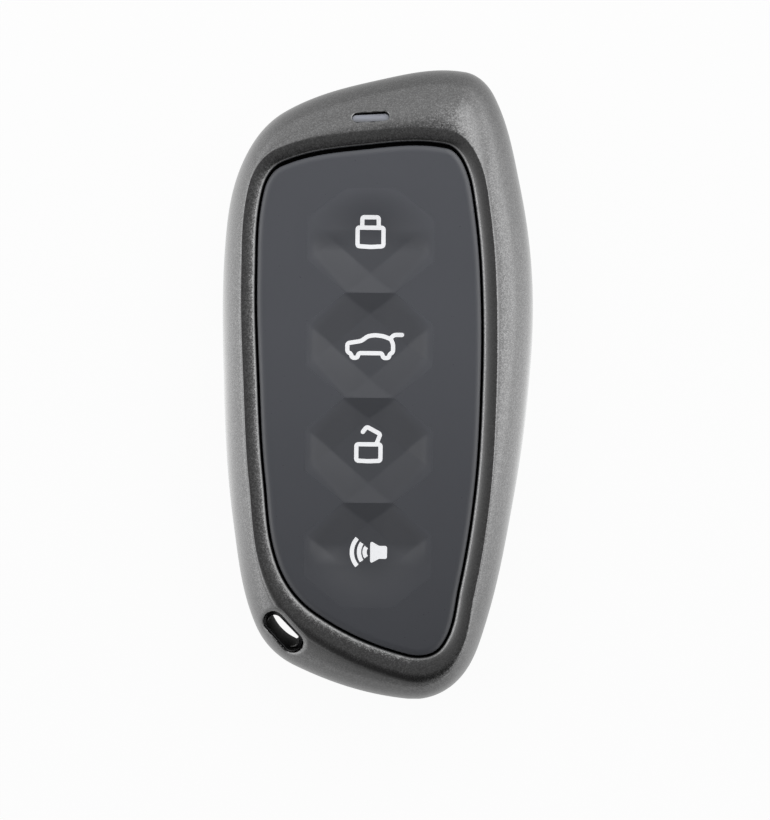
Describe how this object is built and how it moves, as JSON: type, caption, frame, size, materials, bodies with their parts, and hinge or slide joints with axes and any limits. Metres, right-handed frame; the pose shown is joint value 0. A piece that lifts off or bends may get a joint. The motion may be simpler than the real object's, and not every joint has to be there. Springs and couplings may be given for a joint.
{
  "type": "car key fob",
  "caption": "Slim asymmetric car key fob: painted case, soft keypad of faceted press buttons, coin cell, board and a pull-out emergency key.",
  "frame": {"origin": "middle of the outline's box, on the plane of the flat back", "axes": "+X to the right side, +Y to the lamp end, +Z out of the keypad; the fob lies on its back"},
  "size_m": [0.0416, 0.084, 0.0145],
  "materials": {
    "case_paint": "graphite metallic paint with fine flake, satin",
    "black_plastic": "black moulded plastic",
    "soft_touch": "charcoal soft-touch silicone",
    "seal_rubber": "dark grey elastomer",
    "board": "green solder mask",
    "chip_black": "moulded package",
    "stem_white": "ivory plastic",
    "clear_guide": "clear moulded light guide",
    "steel": "nickel plated steel",
    "cell_steel": "bright stainless steel",
    "contact_brass": "gold flashed spring bronze",
    "copper": "enamelled copper wire",
    "ferrite": "sintered ferrite",
    "ceramic": "ceramic chip parts"
  },
  "bodies": {
    "case": {"front_cover": "case_paint", "chassis": "black_plastic", "seal": "seal_rubber", "keypad_pad": "soft_touch", "keypad_carrier": "black_plastic", "circuit_board": "board", "switch_bodies": "chip_black", "switch_covers": "steel", "led_chip": "stem_white", "light_guide": "clear_guide", "controller_chip": "chip_black", "radio_chip": "chip_black", "crystal": "steel", "passives": "ceramic", "antenna_core": "ferrite", "antenna_winding": "copper", "coin_cell_can": "cell_steel", "coin_cell_cap": "cell_steel", "coin_cell_gasket": "seal_rubber", "battery_contact_positive": "contact_brass", "battery_contact_negative": "contact_brass", "key_catch": "steel", "release_spring": "steel", "screws": "steel"},
    "back": {"rear_cover": "case_paint"},
    "lock": {"button_lock": "soft_touch", "switch_stem_lock": "stem_white"},
    "tailgate": {"button_tailgate": "soft_touch", "switch_stem_tailgate": "stem_white"},
    "unlock": {"button_unlock": "soft_touch", "switch_stem_unlock": "stem_white"},
    "horn": {"button_horn": "soft_touch", "switch_stem_horn": "stem_white"},
    "key": {"key_blade": "steel", "key_head": "black_plastic"},
    "release": {"release_button": "black_plastic"}
  },
  "joints": [
    {"name": "lock_press", "type": "slide", "parent": "case", "child": "lock", "axis": [0, 0, -1], "range_m": [0, 0.00035], "stiffness_N_per_m": 3000, "springref_m": -0.0002},
    {"name": "tailgate_press", "type": "slide", "parent": "case", "child": "tailgate", "axis": [0, 0, -1], "range_m": [0, 0.00035], "stiffness_N_per_m": 3000, "springref_m": -0.0002},
    {"name": "unlock_press", "type": "slide", "parent": "case", "child": "unlock", "axis": [0, 0, -1], "range_m": [0, 0.00035], "stiffness_N_per_m": 3000, "springref_m": -0.0002},
    {"name": "horn_press", "type": "slide", "parent": "case", "child": "horn", "axis": [0, 0, -1], "range_m": [0, 0.00035], "stiffness_N_per_m": 3000, "springref_m": -0.0002},
    {"name": "key_pull", "type": "slide", "parent": "case", "child": "key", "axis": [0, 1, 0], "range_m": [0, 0.04], "deforming": ["key_catch"]},
    {"name": "release_press", "type": "slide", "parent": "case", "child": "release", "axis": [-1, 0, 0], "range_m": [0, 0.0012], "stiffness_N_per_m": 800, "springref_m": -0.0005, "deforming": ["release_spring"]},
    {"name": "rear_cover_off", "type": "slide", "parent": "case", "child": "back", "axis": [0, 0, -1], "range_m": [0, 0.012]}
  ]
}
